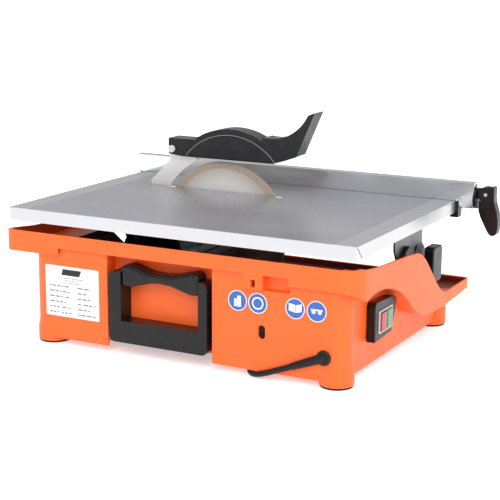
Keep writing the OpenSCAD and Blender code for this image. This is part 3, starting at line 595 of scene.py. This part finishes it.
# All of these are parts of the label's length and height, as on_label takes them
HEADER = ((0.33, 0.055), (0.68, 0.055), (0.64, 0.175), (0.30, 0.175))
HEADING_BARS = ((0.225, 0.28, 0.72), (0.27, 0.36, 0.62), (0.315, 0.32, 0.66))  # down, start, end
HEADING_BAR_HEIGHT = 0.012
ROWS = 6
FIRST_ROW = 0.385
ROW_PITCH = 0.105
ROW_COLUMNS = ((0.07, 0.50), (0.60, 0.95))  # start, end
ROW_BAR_HEIGHT = 0.026
WORD_GAP = 0.018


def on_label(across, down):
    """A place on the label, as parts of its length from the rear and of its height from the top."""
    return LABEL_REAR - LABEL_LENGTH * across, LABEL_TOP - LABEL_HEIGHT * down


def add_label_print():
    """A plain header block and rows of short bars stand for the print."""
    rng = random.Random(7)
    header = [on_label(*at) for at in HEADER]
    add_piece("label_header", outline_mesh("label_header", [header], PRINT_FACE, LABEL_FACE),
              "dark_print", "machine", "black_plastic")
    bars = []
    for down, start, end in HEADING_BARS:
        (y0, z0), (y1, z1) = on_label(start, down), on_label(end, down + HEADING_BAR_HEIGHT)
        bars.append(block(y1, y0, z1, z0))
    for row in range(ROWS):
        down = FIRST_ROW + row * ROW_PITCH
        for start, end in ROW_COLUMNS:
            across = start
            stop = end - 0.16 * rng.random()
            while across < stop:
                width = min(0.03 + 0.07 * rng.random(), stop - across)
                y0, z0 = on_label(across, down)
                y1, z1 = on_label(across + width, down + ROW_BAR_HEIGHT)
                bars.append(block(y1, y0, z1, z0))
                across += width + WORD_GAP + 0.05 * rng.random() * (rng.random() > 0.6)
    add_piece("label_lines", outline_mesh("label_lines", bars, PRINT_FACE, LABEL_FACE), "grey_print",
              "machine", "black_plastic")


STICKER_Y = (162.4, 133.9, 82.4, 53.4)  # centres, from the rear one to the front one
STICKER_Z = 96.6
STICKER_RIM = (13.2, 12.2)  # outer and inner radius
STICKER_FACE = 4.6  # X of the stickers' outer faces
STICKER_PRINT = 0.06  # how far the print stands out from them

TWO_BLOCKS = [block(157.5, 162.5, 89, 103), block(163.5, 167, 89, 99)]
SMALL_RING = ring_parts(STICKER_Y[1], STICKER_Z, 8.0, 6.2)
TWO_PAGES = [
    [(82.0, 91.5), (82.0, 101), (91, 103), (91, 93.5)],
    [(81.2, 91.5), (81.2, 101), (73.5, 103), (73.5, 93.5)],
]
BAR_AND_DISCS = [block(45.5, 61.3, 97.5, 99.3), circle(49.2, 95.8, 2.6, 20), circle(57.6, 95.8, 2.6, 20)]


def add_sticker_print():
    """White rims, and one plain white shape on each round sticker."""
    shapes = []
    for y in STICKER_Y:
        shapes += ring_parts(y, STICKER_Z, *STICKER_RIM)
    shapes += TWO_BLOCKS + SMALL_RING + TWO_PAGES + BAR_AND_DISCS
    add_piece("sticker_print",
              outline_mesh("sticker_print", shapes, STICKER_FACE - STICKER_PRINT, STICKER_FACE),
              "white_print", "machine", "label_film")


# ---- raised cheek on the guard's left side ----

CHEEK_CENTRE = (300, 173.5)  # Y and Z of its arc's centre
CHEEK_RADIUS = 92
CHEEK_BASE = 232.5  # Z of its lower edge
CHEEK_EDGE_MM = 0.7
ARC_HALF = 16  # parts in each half of the arc
GUARD_FACE = 234  # X of the guard's left side
RIM_RADII = (CHEEK_RADIUS + 1.3, CHEEK_RADIUS + 0.4)  # outer and inner


def cheek_arc(radius, base):
    """Places along the cheek's upper edge, from its rear end to its front end."""
    reach = math.acos((base - CHEEK_CENTRE[1]) / radius)
    turns = [reach * (1 - i / ARC_HALF) for i in range(2 * ARC_HALF + 1)]
    return [(CHEEK_CENTRE[0] + radius * math.sin(turn), CHEEK_CENTRE[1] + radius * math.cos(turn))
            for turn in turns]


def add_guard_cheek():
    """The cheek stands out from the guard's side; its rim is a thin strip around the arc, coloured light
    grey as a painted highlight on its edge.
    """
    plate = outline_mesh("guard_cheek", [cheek_arc(CHEEK_RADIUS, CHEEK_BASE)], GUARD_FACE - 1.6,
                         GUARD_FACE + 0.4)
    cheek = add_piece("guard_cheek", plate, "black_plastic", "guard", "black_plastic")
    soften(cheek, CHEEK_EDGE_MM * MM, 3)
    outer, inner = (cheek_arc(radius, CHEEK_BASE) for radius in RIM_RADII)
    parts = [[outer[i], outer[i + 1], inner[i + 1], inner[i]] for i in range(len(outer) - 1)]
    # painted highlight: the rim strip is coloured light grey to stand for the shine on the cheek's edge
    add_piece("guard_rim", outline_mesh("guard_rim", parts, GUARD_FACE - 0.9, GUARD_FACE + 0.3),
              "edge_highlight_grey", "guard", "black_plastic")


add_label_print()
add_sticker_print()
add_guard_cheek()


# ---- surroundings ----

FLOOR_HALF = 40.0  # metres
FLOOR_GLOW = 0.45
SKY_LIGHT = 0.85


def add_floor():
    """A white floor that glows a little, so that shadows on it stay pale."""
    built = bmesh.new()
    bmesh.ops.create_grid(built, x_segments=8, y_segments=8, size=FLOOR_HALF)
    mesh = bpy.data.meshes.new("floor")
    built.to_mesh(mesh)
    built.free()
    floor = bpy.data.objects.new("floor", mesh)
    bpy.context.scene.collection.objects.link(floor)
    material, _, _, shader, _ = new_material("floor paint")
    shader.inputs["Base Color"].default_value = (0.92, 0.92, 0.92, 1)
    shader.inputs["Emission Color"].default_value = (1, 1, 1, 1)
    shader.inputs["Emission Strength"].default_value = FLOOR_GLOW
    shader.inputs["Roughness"].default_value = 0.9
    shader.inputs["Specular IOR Level"].default_value = 0.1
    mesh.materials.append(material)


def add_world():
    """Light from all around: grey at the horizon and below, and white overhead."""
    world = bpy.data.worlds.new("studio")
    world.use_nodes = True
    nodes = world.node_tree.nodes
    links = world.node_tree.links
    background = nodes["Background"]
    coordinate = nodes.new("ShaderNodeTexCoord")
    split = nodes.new("ShaderNodeSeparateXYZ")
    links.new(coordinate.outputs["Generated"], split.inputs["Vector"])
    ramp = nodes.new("ShaderNodeValToRGB")
    links.new(split.outputs["Z"], ramp.inputs["Fac"])
    stops = ramp.color_ramp.elements
    stops[0].position = 0.0
    stops[0].color = (0.50, 0.50, 0.53, 1)
    stops[1].position = 0.75
    stops[1].color = (1.0, 1.0, 1.0, 1)
    links.new(ramp.outputs["Color"], background.inputs["Color"])
    background.inputs["Strength"].default_value = SKY_LIGHT
    bpy.context.scene.world = world


def add_sun(name, azimuth, elevation, strength, spread):
    """A soft distant light; azimuth is measured from +X towards +Y."""
    data = bpy.data.lights.new(name, "SUN")
    data.energy = strength
    data.angle = math.radians(spread)
    lamp = bpy.data.objects.new(name, data)
    towards = Vector((
        math.cos(math.radians(azimuth)) * math.cos(math.radians(elevation)),
        math.sin(math.radians(azimuth)) * math.cos(math.radians(elevation)),
        math.sin(math.radians(elevation)),
    ))
    lamp.rotation_euler = towards.to_track_quat("Z", "Y").to_euler()
    bpy.context.scene.collection.objects.link(lamp)


add_floor()
add_world()
add_sun("key", 195, 38, 1.45, 35)
add_sun("front fill", 262, 30, 0.9, 50)
bpy.context.scene.view_settings.view_transform = "Standard"
